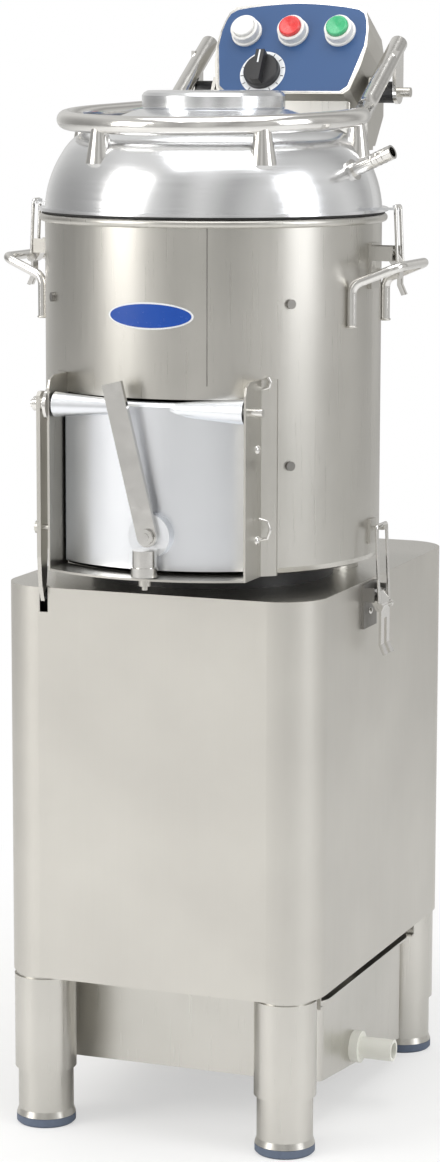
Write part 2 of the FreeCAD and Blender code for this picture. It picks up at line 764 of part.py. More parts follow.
# Lid: a spun dome with a flat flange, a cap, and a bent tube lever hinged on the column
def dome_room(inset):
    """The dome's outer or inner room: a side arc, a shoulder arc and a shallow crown."""
    base = Vector(number(f"{LID_RADIUS} - 6 - {inset}"), 0, number("lid_bottom + 3"))
    side = Vector(number(f"{LID_RADIUS} - waist_in - {inset}"), 0, number("lid_bottom + waist_rise"))
    shoulder, turn, crown, rise = (
        Vector(number(f"{radius} - {inset}"), 0, number(f"lid_bottom + {name}_rise - {inset}"))
        for name, radius in (
            ("shoulder", f"{LID_RADIUS} - shoulder_in"),
            ("turn", f"{LID_RADIUS} - turn_in"),
            ("crown", "crown_radius"),
            ("rise", "rise_radius"),
        )
    )
    top = Vector(number(f"cap_radius + 2 - {inset}"), 0, number(f"cap_bottom - {inset}"))
    axis_top = Vector(0, 0, top.z)
    foot = Vector(base.x, 0, number("lid_bottom") - (1 if inset else 0))
    axis_foot = Vector(0, 0, foot.z)
    edges = [
        Part.LineSegment(axis_foot, foot).toShape(),
        Part.LineSegment(foot, base).toShape(),
        Part.Arc(base, side, shoulder).toShape(),
        Part.Arc(shoulder, turn, crown).toShape(),
        Part.Arc(crown, rise, top).toShape(),
        Part.LineSegment(top, axis_top).toShape(),
        Part.LineSegment(axis_top, axis_foot).toShape(),
    ]
    return Part.Face(Part.Wire(edges)).revolve(Vector(), Vector(0, 0, 1), 360)


def make_lid():
    outer = dome_room(0)
    inner = dome_room(number("lid_wall"))
    flange = Part.makeCylinder(number(LID_RADIUS), 3, at("0", "0", "lid_bottom"))
    dome = outer.fuse(flange).cut(inner).removeSplitter()
    catch = fuse(
        "catch_body",
        box("catch_shelf", "26", "11", "2", f"{LID_RADIUS} + 4", "0", "lid_bottom + 3"),
        box("catch_lip", "1.5", "11", "4.5", f"{LID_RADIUS} + 16.25", "0", "lid_bottom + 3"),
    )
    inside = cylinder("catch_inside", f"{LID_RADIUS} - 7", "20", z="lid_bottom - 5")
    seated = cut("catch_cut", catch, inside)
    welded = fuse("dome_welded", shaped("dome_shell", dome), seated, mirrored("catch_left", seated))
    node(welded, "lid_dome")

    gasket = tube("gasket_ring", f"{LID_RADIUS} - 3", "drum_radius - 9", "gasket_height",
                  z="lid_bottom - gasket_height")
    node(gasket, "lid_gasket")

    cap = turned("cap_body", [
        ("0", "0"),
        ("cap_radius - 2", "0"),
        ("cap_radius", "2"),
        ("cap_radius", "cap_height - 5"),
        ("cap_radius - 2", "cap_height - 2"),
        ("cap_radius - 6", "cap_height"),
        ("0", "cap_height"),
    ], z="cap_bottom")
    node(cap, "lid_cap")

    lever = lever_tube("tube_radius").cut(lever_tube("tube_radius - 1.5", "3"))
    lugs = [
        Part.makeCone(14, 7.5, 36, Vector(x, y, number("ring_front_z") - 36))
        for x, y in ring_points((-117, -50, 5, 175))
    ]
    ears = []
    for sign in (-1, 1):
        ear = hinge_ear(sign)
        ears.append(ear)
    solid_tube = lever_tube("tube_radius")
    welded = Part.makeCompound(lugs + ears).cut(solid_tube).cut(outer)
    keep = [piece for piece in welded.Solids if piece.CenterOfMass.z > number("lid_bottom") + 20]
    body = lever.fuse(keep).removeSplitter()
    node(shaped("lever_weldment", body), "lid_lever")

    bushes = [
        tube(f"bush_{sign}", "11", "hinge_pin_radius + pin_play", "19.7",
             f"{'-' if sign < 0 else ''}(arm_x - 17 + free_gap)", "hinge_y", "hinge_z",
             "-x" if sign < 0 else "x")
        for sign in (-1, 1)
    ]
    node(group("bush_group", *bushes), "hinge_bushes")

    tail = water_inlet(outer)
    node(shaped("inlet_tail", tail), "water_inlet")


def ring_points(angles):
    radius = number("ring_radius")
    return [(radius * math.cos(math.radians(a)), radius * math.sin(math.radians(a))) for a in angles]


def lever_tube(radius_text, end_gap="0"):
    """The U-shaped tube: a front arc, two arms that converge, then bend up past the panel."""
    radius = number("ring_radius")
    turn = math.radians(number("arm_turn"))
    slope = math.tan(math.radians(number("ring_slope")))
    front_z = number("ring_front_z")

    def lifted(x, y):
        return Vector(x, y, front_z + (y + radius) * slope)

    side = (radius * math.cos(turn), radius * math.sin(turn))
    run = (number("arm_bend_y") - side[1]) / math.cos(turn)
    bend = (side[0] - run * math.sin(turn), number("arm_bend_y"))
    right = [
        lifted(*side),
        lifted(*bend),
        at("arm_x", "arm_end_y", "arm_end_z"),
    ]
    shorten = number(end_gap)
    if shorten:
        back = (right[1] - right[2]).normalize()
        right[2] = right[2] + back * shorten
    left = [Vector(-p.x, p.y, p.z) for p in right]
    right_arm = bent_path(right, 45)
    left_arm = bent_path(left[::-1], 45)
    front = Part.Arc(left[0], lifted(0, -radius), right[0]).toShape()
    path = Part.Wire(left_arm.Edges + [front] + right_arm.Edges)
    return rod(path, number(radius_text))


def hinge_ear(sign):
    """A flat ear that drops from the arm to the hinge pin."""
    low = number("arm_x") + 4
    start = low if sign > 0 else -low - 4
    y, z = number("hinge_y"), number("hinge_z")
    strip = Part.makeBox(4, 24, 42, Vector(start, y - 12, z))
    eye = Part.makeCylinder(12, 4, Vector(start, y, z), Vector(1, 0, 0))
    bore = Part.makeCylinder(number("hinge_pin_radius + pin_play"), 8, Vector(start - 2, y, z),
                             Vector(1, 0, 0))
    return strip.fuse(eye).cut(bore)


def water_inlet(dome):
    """A hose tail with a collar, standing out of the dome's right side."""
    tilt = math.radians(number("inlet_tilt"))
    turn = math.radians(number("inlet_turn"))
    along = Vector(math.cos(tilt) * math.cos(turn), -math.cos(tilt) * math.sin(turn), math.sin(tilt))
    start = at("inlet_x", "-inlet_y", "inlet_z")
    radius = number("inlet_radius")
    tail = Part.makeCylinder(radius, number("inlet_length"), start, along)
    collar = Part.makeCylinder(radius + 3.5, number("inlet_collar"), start, along)
    grooves = [
        Part.makeCylinder(radius + 1, 2.5, start + along * distance, along).cut(
            Part.makeCylinder(radius - 0.8, 2.5, start + along * distance, along))
        for distance in (36, 42, 48)
    ]
    bore = Part.makeCylinder(radius - 2, number("inlet_length + 22"), start - along * 5, along)
    body = tail.cut(grooves).fuse(collar).cut(dome).cut(bore)
    return max(body.Solids, key=lambda piece: piece.Volume)


# Column and control panel
def outline_points(inset):
    half_low = f"(panel_low_width / 2 - {inset})"
    half_mid = f"(panel_mid_width / 2 - {inset})"
    half_top = f"(panel_top_width / 2 - {inset})"
    right = [
        (f"{half_low} - 6", f"{inset}"),
        (half_low, f"{inset} + 5"),
        (f"{half_mid} - 3", "panel_mid_height - 24"),
        (half_mid, "panel_mid_height"),
        (f"{half_mid} - 2", "panel_mid_height + 22"),
        (half_top, f"panel_side_height - 3 - {inset}"),
        (f"{half_top} - 6", f"panel_side_height + 2 - {inset}"),
        (f"{half_top} / 2", f"panel_height - 2.5 - {inset}"),
    ]
    top = [("0", f"panel_height - {inset}")]
    left = [(f"-({x})", z) for x, z in reversed(right)]
    return right + top + left


def on_panel(item, x="0", up="0", out="0", faces_out=False):
    """Place a piece by its width, height up the panel and distance out of it."""
    turn = Rotation(Vector(1, 0, 0), 90 - number("panel_tilt")) if faces_out else Rotation(
        Vector(1, 0, 0), -number("panel_tilt"))
    item.Placement.Rotation = turn
    return place(
        item, x,
        f"panel_y + ({up}) * sin(panel_tilt) - ({out}) * cos(panel_tilt)",
        f"panel_z + ({up}) * cos(panel_tilt) + ({out}) * sin(panel_tilt)",
    )


def panel_block(name, inset, depth, out):
    """A block of the panel's outline whose front face is a distance out of the panel plane."""
    body = plate(name, "XZ_Plane", outline_points(inset), depth)
    body.Tip.Reversed = True
    return on_panel(body, out=out)


BUTTONS = {"white_button": -1, "red_button": 0, "green_button": 1}


def make_panel():
    housing = panel_block("housing_outside", "0", "panel_depth", "0")
    hollow = panel_block("housing_inside", "2", "panel_depth - 2 - fascia_sheet", "-fascia_sheet")
    holes = [
        on_panel(cylinder(f"{name}_hole", "collar_radius - 1.5", "12"), f"{slot} * button_pitch",
                 "button_row", "-8", True)
        for name, slot in BUTTONS.items()
    ]
    knob_hole = on_panel(cylinder("knob_hole", "4", "12"), "-knob_x", "knob_row", "-8", True)
    node(cut("panel_housing_cut", housing, hollow, knob_hole, *holes), "panel_housing")

    cups = []
    for name, slot in BUTTONS.items():
        x = f"{slot} * button_pitch"
        inner = "(button_radius + free_gap)"
        cup = turned(f"{name}_cup", [
            ("0", "-36"),
            ("collar_radius - 1.5", "-36"),
            ("collar_radius - 1.5", "0"),
            ("collar_radius", "0"),
            ("collar_radius", "collar_height - 1"),
            ("collar_radius - 1", "collar_height"),
            (inner, "collar_height"),
            (inner, "-10 - button_travel - free_gap"),
            ("0", "-10 - button_travel - free_gap"),
        ])
        cups.append(on_panel(cup, x, "button_row", "0", True))
        crown = "button_travel + collar_height"
        cap = turned(name, [
            ("0", "-10"),
            ("button_radius", "-10"),
            ("button_radius", f"{crown} - 1"),
            ("button_radius - 1", crown),
            ("button_radius - 2", crown),
            ("0", f"{crown} - 2" if slot >= 0 else f"{crown} + 0.5"),
        ])
        node(on_panel(cap, x, "button_row", "0", True), name)
    node(group("cup_group", *cups), "button_housings")

    timer_body = turned("timer_turned", [
        ("3.4 + pin_play", "-fascia_sheet - 26"), ("20", "-fascia_sheet - 26"), ("20", "-fascia_sheet"),
        ("3.4 + pin_play", "-fascia_sheet"),
    ])
    node(on_panel(timer_body, "-knob_x", "knob_row", "0", True), "timer_body")

    knob = turned("knob_turned", [
        ("0", "-20"),
        ("3.4", "-20"),
        ("3.4", "free_gap"),
        ("knob_radius", "free_gap"),
        ("knob_radius", "7"),
        ("knob_radius - 1.5", "9"),
        ("0", "9"),
    ])
    grip = knob.newObject("PartDesign::AdditiveBox", "knob_grip")
    bind(grip, "Length", "9")
    bind(grip, "Width", "2 * knob_radius - 3")
    bind(grip, "Height", "11")
    grip.Placement.Base = Vector(-4.5, -number("knob_radius") + 1.5, 8)
    node(on_panel(knob, "-knob_x", "knob_row", "0", True), "timer_knob")

    post_outside = rounded_box("post_outside", "2 * column_half_width", "column_depth", "470", "4", "0",
                               "column_front + column_depth / 2", "cabinet_top")
    post_inside = rounded_box("post_inside", "2 * column_half_width - 4", "column_depth - 4", "500", "2", "0",
                              "column_front + column_depth / 2", "cabinet_top - 4")
    above = on_panel(box("post_above", "300", "200", "200"), "-150", "0", "20")
    node(cut("column_cut", cut("post_tube", post_outside, post_inside), above), "column")

    ears = []
    for side, sign in (("left", -1), ("right", 1)):
        ear = plate(
            f"bracket_{side}", "YZ_Plane",
            [("209", "960"), ("232", "960"), ("258", "990"), ("258", "1020"), ("247", "1030"),
             ("223", "1030"), ("212", "1012"), ("206", "990")],
            "4", x=f"{sign} * 86 - 2",
        )
        block = box(f"bracket_{side}_block", "16", "22", "20", f"{sign} * 78", "column_front + 17", "956")
        pin = cylinder(f"bracket_{side}_pin", "hinge_pin_radius", "hinge_pin_end - 84",
                       f"{sign} * 84", "hinge_y", "hinge_z", "x" if sign > 0 else "-x")
        ears.append(fuse(f"bracket_{side}_fuse", ear, block, pin))
    node(group("bracket_group", *ears), "hinge_brackets")


# Drive: motor, belt and pulleys below the deck, shaft and abrasive disc above it
def make_drive():
    outer = "(bearing_outer + housing_wall)"
    bore = "(bearing_outer + pin_play)"
    low = "(pulley_z + pulley_width + hub_gap)"
    hub = turned("housing_turned", [
        (bore, low),
        (outer, low),
        (outer, "cabinet_top"),
        ("seat_radius", "cabinet_top"),
        ("seat_radius", DRUM_BOTTOM),
        ("seat_radius - 8", DRUM_BOTTOM),
        ("seat_radius - 8", "cabinet_top + 6"),
        (outer, "cabinet_top + 6"),
        (outer, DRUM_BOTTOM),
        (bore, DRUM_BOTTOM),
    ])
    outlet = cylinder("seat_outlet", OUTLET_RADIUS, "60", OUTLET_X, OUTLET_Y, "cabinet_top - 10")
    node(cut("bearing_housing_cut", hub, outlet), "bearing_housing")

    bearings = []
    for label, z in (("lower", f"{low} + 2"), ("upper", f"{DRUM_BOTTOM} - bearing_width - 8")):
        bearings.append(tube(f"bearing_{label}", "bearing_outer", "shaft_radius + pin_play",
                             "bearing_width", z=z))
    seal = tube("seal_ring", "bearing_outer", "shaft_radius + pin_play", "7", z=f"{DRUM_BOTTOM} - 7.5")
    node(group("bearing_group", *bearings, seal), "shaft_bearings")

    shaft = turned("shaft_turned", [
        ("0", "pulley_z - 6"),
        ("shaft_radius", "pulley_z - 6"),
        ("shaft_radius", "disc_bottom"),
        ("9", "disc_bottom"),
        ("9", "disc_bottom + disc_height + 12"),
        ("0", "disc_bottom + disc_height + 12"),
    ])
    node(shaft, "drive_shaft")

    disc = turned("disc_turned", [
        ("9", "disc_bottom"),
        (f"{DISC_RADIUS} - 3", "disc_bottom"),
        (DISC_RADIUS, "disc_bottom + 3"),
        (DISC_RADIUS, "disc_bottom + disc_height - 3"),
        (f"{DISC_RADIUS} - 4", "disc_bottom + disc_height"),
        ("9", "disc_bottom + disc_height"),
    ])
    waves = [
        cylinder(f"disc_wave_{index}", "14", "100", x, "0", "disc_bottom + disc_height - 6", turn)
        for index, (x, turn) in enumerate((("30", "x"), ("-30", "-x")))
    ]
    under = cylinder("disc_under", f"{DISC_RADIUS} + 5", "40", z="disc_bottom - 40")
    node(cut("abrasive_disc_cut", fuse("disc_body", disc, *waves), under), "abrasive_disc")

    nut = turned("nut_turned", [
        ("9", "0"), ("16", "0"), ("16", "6"), ("12", "11"), ("9", "11"),
    ], z="disc_bottom + disc_height")
    node(nut, "disc_nut")

    node(pulley("driven", "driven_radius", "shaft_radius", "0"), "driven_pulley")
    rotor = fuse(
        "rotor",
        pulley("motor", "motor_pulley_radius", "0", "motor_y"),
        cylinder("rotor_bar", "motor_shaft_radius", "30", "0", "motor_y", "pulley_z - 17.7"),
    )
    node(rotor, "motor_pulley")
    top = "(pulley_z - 12)"
    case = fuse(
        "motor_case",
        cylinder("motor_can", "motor_radius", "motor_height - 8", "0", "motor_y", f"{top} - motor_height"),
        cylinder("motor_nose", "30", "9", "0", "motor_y", f"{top} - 9"),
        box("motor_box", "60", "24", "60", "0", "motor_y - motor_radius - 6", f"{top} - motor_height + 60"),
    )
    shaft_room = cylinder("motor_shaft_room", "motor_shaft_radius + pin_play", "60", "0", "motor_y",
                          "pulley_z - 18")
    node(cut("motor_cut", case, shaft_room), "motor")
    mount = box("motor_shelf", "cabinet_width - 2 * sheet", "150", "4", "0", "cabinet_back - sheet - 75",
                f"{top} - 8")
    corners = cylinder("motor_shelf_nose", "30", "30", "0", "motor_y", f"{top} - 20")
    rounding = rounded_box(
        "motor_shelf_room", "cabinet_width - 2 * sheet", f"{CABINET_DEPTH} - 2 * sheet", CABINET_HEIGHT,
        "cabinet_corner - sheet", "0", CABINET_MID, "cabinet_bottom",
    )
    node(cut("motor_plate_cut", common("motor_shelf_fit", mount, rounding), corners), "motor_plate")
    node(shaped("belt_loop", belt_shape()), "drive_belt")


def pulley(name, radius, bore, y):
    """A V-groove pulley standing on the belt's level."""
    return turned(f"{name}_pulley_turned", [
        (bore, "pulley_z"),
        (radius, "pulley_z"),
        (radius, "pulley_z + 4"),
        (f"{radius} - 7", "pulley_z + 7"),
        (f"{radius} - 7", "pulley_z + pulley_width - 7"),
        (radius, "pulley_z + pulley_width - 4"),
        (radius, "pulley_z + pulley_width"),
        (bore, "pulley_z + pulley_width"),
    ], y=y)


def belt_shape():
    """The belt as a closed loop that lies in both grooves."""
    big = number("driven_radius - 7 + free_gap")
    small = number("motor_pulley_radius - 7 + free_gap")
    span = number("motor_y")
    z = number("pulley_z + 7.4")
    height = number("pulley_width - 14.8")

    def loop(extra):
        wide, narrow = big + extra, small + extra
        lean = math.asin((wide - narrow) / span)
        c, s = math.cos(lean), math.sin(lean)
        ends = [Vector(wide * c, wide * s, z), Vector(narrow * c, span + narrow * s, z)]
        far = Vector(0, span + narrow, z)
        near = Vector(0, -wide, z)
        right_low, right_high = ends
        left_low = Vector(-right_low.x, right_low.y, z)
        left_high = Vector(-right_high.x, right_high.y, z)
        return Part.Face(Part.Wire([
            Part.LineSegment(right_low, right_high).toShape(),
            Part.Arc(right_high, far, left_high).toShape(),
            Part.LineSegment(left_high, left_low).toShape(),
            Part.Arc(left_low, near, right_low).toShape(),
        ])).extrude(Vector(0, 0, height))

    return loop(6).cut(loop(0))


# Carrying handles: bent rods welded to the drum's sides
def make_handles():
    seat_x = math.sqrt(number("drum_radius") ** 2 - number("handle_half_span") ** 2)
    post_x = seat_x + number("handle_rod - 0.3")
    half, reach = number("handle_half_span"), number("drum_radius + handle_out")
    low, bend, top = number("handle_low"), number("handle_bend"), number("handle_top")
    route = [
        Vector(post_x, -half, low),
        Vector(post_x, -half, bend),
        Vector(reach, -half + 9, top),
        Vector(reach, half - 9, top),
        Vector(post_x, half, bend),
        Vector(post_x, half, low),
    ]
    bar = rod(bent_path(route, number("handle_bend_radius")), number("handle_rod"))
    drum = Part.makeCylinder(number("drum_radius"), number("drum_rim"))
    right = shaped("handle_rod_right", bar.cut(drum))
    node(group("handle_pair", right, mirrored("handle_rod_left", right)), "carry_handles")


# Toggle latches: a base with a pin, a lever that turns on it, and a wire bail on the lever
BAIL_OUT = "7"
BAIL_DOWN = "12"


def make_latch(kind, wall, pin_out, pin_z, hook_x, hook_z, length, half, trim):
    pin_x = f"({wall} + {pin_out})"
    cross_x = f"({pin_x} + {BAIL_OUT})"
    cross_z = f"({pin_z} - {BAIL_DOWN})"
    ear_y = f"({half} + 2 * latch_wire + 1)"
    name = f"{kind}_right"

    back = box(f"{name}_back", "6", f"2 * {ear_y} + 2 * latch_sheet", "44", f"{wall}", "0", f"{pin_z} - 34")
    ears = [
        box(f"{name}_ear_{side}", f"{pin_out} + 3", "latch_sheet", "14", f"{wall} + ({pin_out} + 3) / 2",
            f"{sign} * ({ear_y} + latch_sheet / 2)", f"{pin_z} - 7")
        for side, sign in (("front", -1), ("rear", 1))
    ]
    pin = cylinder(f"{name}_pin", "latch_pin", f"2 * {ear_y} + 2 * latch_sheet", pin_x,
                   f"-{ear_y} - latch_sheet", pin_z, "y")
    base = cut(f"{name}_base", fuse(f"{name}_base_body", back, *ears, pin), trim)
    node(group(f"{kind}_base_pair", base, mirrored(f"{kind}_base_left", base)), f"{kind}_bases")

    profile = plate(f"{name}_blade", "XZ_Plane", [
        ("-4", "0"), ("0", "4"), ("4", "2"), ("8.5", "-9"), ("8.5", f"-({length}) + 10"),
        ("13", f"-({length})"), ("10.5", f"-({length}) - 1"), ("6", f"-({length}) + 9"), ("6", "-16"),
        ("3", "-15"), ("-4", "-5"),
    ], f"2 * {half}", pin_x, half, pin_z)
    fork = box(f"{name}_fork", "60", f"{half} * 0.6", "200", pin_x, "0", f"{pin_z} - 224")
    cross = cylinder(f"{name}_cross", "latch_pin", f"2 * {half} + 4 * latch_wire", cross_x,
                     f"-{half} - 2 * latch_wire", cross_z, "y")
    eye = cylinder(f"{name}_eye", "latch_pin + pin_play", "80", pin_x, "-40", pin_z, "y")
    lever = fuse(f"{name}_lever_body", cut(f"{name}_lever_cut", profile, eye, fork), cross)
    node(lever, f"{kind}_lever_right")
    node(mirrored(f"{kind}_lever_twin", lever), f"{kind}_lever_left")

    leg_y = number(f"{half} + 0.4 + latch_wire")
    low = Vector(number(cross_x), 0, number(cross_z))
    high = Vector(number(hook_x), 0, number(hook_z))
    wire = number("latch_wire")
    route = [Vector(low.x, -leg_y, low.z), Vector(high.x, -leg_y, high.z), Vector(high.x, leg_y, high.z),
             Vector(low.x, leg_y, low.z)]
    loop = rod(bent_path(route, wire + 1.4), wire)
    rims = [
        Part.makeCylinder(4.2, 2 * wire, Vector(low.x, y - wire, low.z), Vector(0, 1, 0))
        for y in (-leg_y, leg_y)
    ]
    bore = Part.makeCylinder(number("latch_pin + pin_play"), 80, Vector(low.x, -40, low.z), Vector(0, 1, 0))
    bail = shaped(f"{name}_wire", loop.fuse(rims).cut(bore))
    node(bail, f"{kind}_bail_right")
    node(mirrored(f"{kind}_wire_left", bail), f"{kind}_bail_left")


def make_latches():
    make_latch("lid_latch", "drum_radius", "(handle_out - 20.3)", "864",
               f"{LID_RADIUS} + 17 + latch_wire + free_gap", "lid_bottom + 5.3 + latch_wire",
               "39", "latch_half_width", drum_core("lid_latch_core"))
    wall_room = box("clamp_wall", "cabinet_width", "200", "300", "0", "0", "300")
    make_latch("base_clamp", "cabinet_width / 2", "10", "cabinet_top - 12", "drum_radius + 11.5",
               f"{CLAMP_SHELF} + 2 + clamp_slack + latch_wire", "59", "clamp_half_width", wall_room)


def write_parts():
    """Check every object, then write one file for each sub-part."""
    DOC.recompute()
    for item in DOC.Objects:
        if {"Invalid", "Error"} & set(item.State):
            raise RuntimeError(f"{item.Name} failed: {item.State}")
    for item in NODES:
        if item.Shape.isNull() or not item.Shape.isValid() or not item.Shape.Solids:
            raise RuntimeError(f"{item.Label} has no valid solid")
    os.makedirs("parts", exist_ok=True)
    for item in NODES:
        item.Shape.exportStep(f"parts/{item.Label}.step")
    print(len(NODES), "nodes written")


make_cabinet()
make_legs()
make_tray()
make_drum()
make_chute()
make_door()
make_lid()
make_panel()
make_drive()
make_handles()
make_latches()
write_parts()
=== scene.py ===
import math

import bpy
from mathutils import Matrix, Vector


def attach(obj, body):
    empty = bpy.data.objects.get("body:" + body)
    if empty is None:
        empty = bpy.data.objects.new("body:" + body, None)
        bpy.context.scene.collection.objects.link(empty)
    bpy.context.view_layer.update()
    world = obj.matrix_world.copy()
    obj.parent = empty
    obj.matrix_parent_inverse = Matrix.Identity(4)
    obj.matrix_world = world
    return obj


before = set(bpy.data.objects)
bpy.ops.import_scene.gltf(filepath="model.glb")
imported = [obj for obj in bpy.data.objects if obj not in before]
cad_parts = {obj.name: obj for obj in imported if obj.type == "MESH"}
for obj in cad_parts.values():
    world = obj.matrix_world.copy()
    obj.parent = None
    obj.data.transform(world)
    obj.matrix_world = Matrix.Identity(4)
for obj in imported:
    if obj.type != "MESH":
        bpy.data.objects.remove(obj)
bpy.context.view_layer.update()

# Electric potato peeler: finishes, small fittings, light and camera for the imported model.
# Metres, drum axis on Z, floor at z = 0, chute towards -Y, panel towards +Y.

DRUM_R = 0.165
BADGE_Z = 0.810
PANEL_TILT = math.radians(30)
PANEL_FOOT = Vector((0, 0.190, 1.0135))


# Materials

def new_material(name):
    material = bpy.data.materials.new(name)
    material.use_nodes = True
    tree = material.node_tree
    return material, tree, tree.nodes["Principled BSDF"]


def coordinates(tree, stretch):
    coord = tree.nodes.new("ShaderNodeTexCoord")
    mapping = tree.nodes.new("ShaderNodeMapping")
    mapping.inputs["Scale"].default_value = stretch
    tree.links.new(coord.outputs["Object"], mapping.inputs["Vector"])
    return mapping.outputs["Vector"]


def noise(tree, stretch, scale, detail=4.0):
    texture = tree.nodes.new("ShaderNodeTexNoise")
    texture.inputs["Scale"].default_value = scale
    texture.inputs["Detail"].default_value = detail
    tree.links.new(coordinates(tree, stretch), texture.inputs["Vector"])
    return texture.outputs["Fac"]


def spread(tree, value, low, high):
    ramp = tree.nodes.new("ShaderNodeMapRange")
    ramp.inputs["From Min"].default_value = 0.3
    ramp.inputs["From Max"].default_value = 0.7
    ramp.inputs["To Min"].default_value = low
    ramp.inputs["To Max"].default_value = high
    tree.links.new(value, ramp.inputs["Value"])
    return ramp.outputs["Result"]


def tint(tree, value, low, high):
    mix = tree.nodes.new("ShaderNodeMix")
    mix.data_type = "RGBA"
    mix.inputs[6].default_value = (*low, 1)
    mix.inputs[7].default_value = (*high, 1)
    tree.links.new(value, mix.inputs[0])
    return mix.outputs[2]


def bump(tree, value, strength, distance):
    node = tree.nodes.new("ShaderNodeBump")
    node.inputs["Strength"].default_value = strength
    node.inputs["Distance"].default_value = distance
    tree.links.new(value, node.inputs["Height"])
    return node.outputs["Normal"]


def finish_material(name, low, high, rough, grain, scale,
                    metallic=0.0, strength=0.1, depth=0.0002, coat=0.0):
    """A surface whose tint, roughness and relief all vary with grain stretched along one way."""
    material, tree, shader = new_material(name)
    clouds = noise(tree, (1, 1, 1), 7.0, 3.0)
    streaks = noise(tree, grain, scale)
    tree.links.new(tint(tree, spread(tree, clouds, 0.0, 1.0), low, high), shader.inputs["Base Color"])
    tree.links.new(spread(tree, streaks, rough[0], rough[1]), shader.inputs["Roughness"])
    tree.links.new(bump(tree, streaks, strength, depth), shader.inputs["Normal"])
    shader.inputs["Metallic"].default_value = metallic
    shader.inputs["Coat Weight"].default_value = coat
    return material


UPRIGHT = (260, 260, 4)
LEVEL = (4, 4, 260)
EVEN = (1, 1, 1)

STEEL = finish_material(
    "satin_steel", (0.54, 0.53, 0.495), (0.62, 0.605, 0.57), (0.27, 0.33), UPRIGHT, 3.0, 1.0, 0.05, 0.0001)
CABINET = finish_material(
    "cabinet_steel", (0.565, 0.55, 0.515), (0.625, 0.61, 0.57),
    (0.36, 0.42), UPRIGHT, 3.0, 1.0, 0.05, 0.0001)
BRIGHT = finish_material(
    "bright_steel", (0.70, 0.69, 0.67), (0.78, 0.77, 0.75), (0.10, 0.20), EVEN, 90.0, 1.0, 0.05, 0.0001)
DOME = finish_material(
    "spun_dome", (0.80, 0.81, 0.83), (0.88, 0.89, 0.91), (0.16, 0.24), LEVEL, 3.0, 1.0, 0.05, 0.0001)
DOOR = finish_material(
    "polished_door", (0.78, 0.80, 0.84), (0.86, 0.88, 0.91), (0.28, 0.32), UPRIGHT, 2.0, 1.0, 0.03, 0.0001)
CAST = finish_material(
    "cast_alloy", (0.42, 0.42, 0.41), (0.54, 0.54, 0.53), (0.45, 0.62), EVEN, 240.0, 1.0, 0.25, 0.0004)
# Black plastic for the black parts; on the bearing housing the black is painted shade for the gap under the
# drum.
BLACK_AND_PAINTED_SHADE = finish_material(
    "black_plastic", (0.012, 0.012, 0.014), (0.022, 0.022, 0.024),
    (0.34, 0.46), EVEN, 400.0, 0.0, 0.12, 0.0002)
WHITE = finish_material(
    "white_plastic", (0.80, 0.80, 0.78), (0.88, 0.88, 0.86),
    (0.25, 0.35), EVEN, 220.0, 0.0, 0.05, 0.0001, 0.2)
RED = finish_material(
    "red_plastic", (0.62, 0.03, 0.03), (0.74, 0.05, 0.05),
    (0.22, 0.32), EVEN, 220.0, 0.0, 0.05, 0.0001, 0.3)
GREEN = finish_material(
    "green_plastic", (0.03, 0.36, 0.15), (0.05, 0.46, 0.20),
    (0.22, 0.32), EVEN, 220.0, 0.0, 0.05, 0.0001, 0.3)
BLUE = finish_material(
    "blue_fascia", (0.016, 0.064, 0.185), (0.021, 0.078, 0.215),
    (0.36, 0.46), EVEN, 500.0, 0.0, 0.08, 0.0001)
BADGE = finish_material(
    "badge_blue", (0.0, 0.050, 0.32), (0.0, 0.065, 0.38), (0.20, 0.28), EVEN, 300.0, 0.0, 0.03, 0.0001, 0.3)
PALE = finish_material(
    "pale_print", (0.72, 0.74, 0.76), (0.80, 0.82, 0.84), (0.35, 0.45), EVEN, 300.0, 0.0, 0.03, 0.0001)
FOOT = finish_material(
    "foot_plastic", (0.09, 0.12, 0.18), (0.13, 0.16, 0.22), (0.50, 0.62), EVEN, 300.0, 0.0, 0.2, 0.0003)
RUBBER = finish_material(
    "dark_rubber", (0.018, 0.018, 0.018), (0.035, 0.035, 0.033),
    (0.60, 0.75), EVEN, 300.0, 0.0, 0.2, 0.0003)
GRIT = finish_material(
    "abrasive_grit", (0.06, 0.055, 0.05), (0.20, 0.19, 0.17), (0.80, 0.95), EVEN, 900.0, 0.0, 0.9, 0.0012)
MOTOR = finish_material(
    "motor_paint", (0.05, 0.07, 0.11), (0.08, 0.10, 0.14), (0.36, 0.48), EVEN, 120.0, 0.0, 0.1, 0.0002)
# Dark steel for the seam and liner bolts; on the base clamp bases the darker steel is painted shade.
DARK_AND_PAINTED_SHADE = finish_material(
    "dark_steel_and_painted_shade", (0.20, 0.195, 0.185), (0.30, 0.29, 0.275), (0.38, 0.50), EVEN, 160.0, 1.0, 0.1, 0.0002)
DRAIN = finish_material(
    "drain_plastic", (0.74, 0.74, 0.68), (0.82, 0.82, 0.76), (0.38, 0.48), EVEN, 260.0, 0.0, 0.1, 0.0002)

